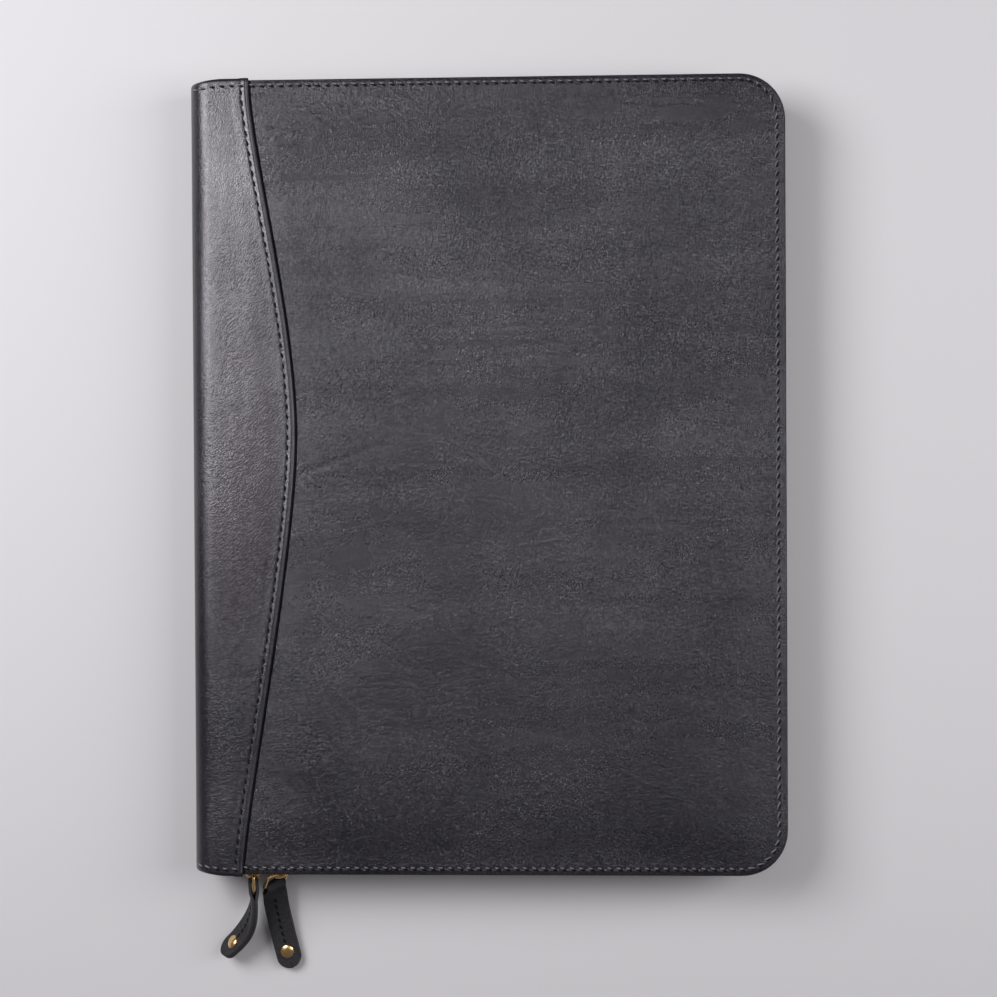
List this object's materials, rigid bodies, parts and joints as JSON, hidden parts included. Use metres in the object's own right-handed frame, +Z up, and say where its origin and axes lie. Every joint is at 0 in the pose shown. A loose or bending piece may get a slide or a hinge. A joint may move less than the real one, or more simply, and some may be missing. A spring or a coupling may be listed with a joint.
{
  "type": "zippered notebook cover",
  "caption": "Zip-round leather notebook cover with a curved spine wrap, folding spine, two leather zip pulls and inner pockets.",
  "frame": {"origin": "middle of the back cover, on the surface that the closed cover lies on", "axes": "+X from the spine to the fore edge, +Y from the edge with the zip pulls to the top edge, +Z up through the closed cover"},
  "size_m": [0.254, 0.3865, 0.03],
  "materials": {
    "cover_leather": "satin black leather, fine grain",
    "strap_leather": "matt black leather, raw edges",
    "lining": "thin black lining leather",
    "board": "grey board",
    "zip_tape": "black woven tape",
    "zip_brass": "polished antique brass"
  },
  "bodies": {
    "back_cover": {"back_leather": "cover_leather", "back_flap": "cover_leather", "back_board": "board", "back_lining": "lining", "notebook_sleeve": "lining", "pen_loop": "lining", "zip_tape_back": "zip_tape", "zip_teeth_back": "zip_brass", "zip_stop_back_bottom": "zip_brass", "zip_stop_back_top": "zip_brass"},
    "spine": {"spine_leather": "cover_leather", "spine_board": "board", "spine_lining": "lining", "front_fold": "cover_leather", "back_fold": "cover_leather"},
    "front_cover": {"front_leather": "cover_leather", "front_flap": "cover_leather", "front_board": "board", "front_lining": "lining", "document_pocket": "lining", "card_pocket_1": "lining", "card_pocket_2": "lining", "card_pocket_3": "lining", "zip_tape_front": "zip_tape", "zip_teeth_front": "zip_brass", "zip_stop_front_bottom": "zip_brass", "zip_stop_front_top": "zip_brass"},
    "slider_left": {"slider_left": "zip_brass", "bail_left": "zip_brass"},
    "ring_left": {"ring_left": "zip_brass"},
    "strap_left": {"strap_left": "strap_leather", "rivet_left": "zip_brass"},
    "slider_right": {"slider_right": "zip_brass", "bail_right": "zip_brass"},
    "ring_right": {"ring_right": "zip_brass"},
    "strap_right": {"strap_right": "strap_leather", "rivet_right": "zip_brass"}
  },
  "joints": [
    {"name": "spine_opening", "type": "hinge", "parent": "back_cover", "child": "spine", "pos_m": [-0.125, 0, 0.002], "axis": [0, -1, 0], "range_deg": [0, 90], "deforming": ["back_fold"]},
    {"name": "cover_opening", "type": "hinge", "parent": "spine", "child": "front_cover", "pos_m": [-0.125, 0, 0.028], "axis": [0, -1, 0], "range_deg": [0, 90], "deforming": ["front_fold"]},
    {"name": "slider_left_travel", "type": "slide", "parent": "back_cover", "child": "slider_left", "axis": [1, 0, 0], "range_m": [-0.004, 0]},
    {"name": "slider_right_travel", "type": "slide", "parent": "back_cover", "child": "slider_right", "axis": [1, 0, 0], "range_m": [0, 0.19]},
    {"name": "ring_left_swing", "type": "hinge", "parent": "slider_left", "child": "ring_left", "pos_m": [-0.1032, -0.1719, 0.015], "axis": [-0.165, 0, -0.9863], "range_deg": [0, 40]},
    {"name": "strap_left_swing", "type": "hinge", "parent": "ring_left", "child": "strap_left", "pos_m": [-0.1032, -0.1789, 0.015], "axis": [-0.165, 0, -0.9863], "range_deg": [0, 30]},
    {"name": "ring_right_swing", "type": "hinge", "parent": "slider_right", "child": "ring_right", "pos_m": [-0.0924, -0.1719, 0.015], "axis": [-0.6856, -0.1966, 0.7009], "range_deg": [0, 45]},
    {"name": "strap_right_swing", "type": "hinge", "parent": "ring_right", "child": "strap_right", "pos_m": [-0.09464, -0.17738, 0.01127], "axis": [-0.6856, -0.1966, 0.7009], "range_deg": [0, 75]}
  ]
}
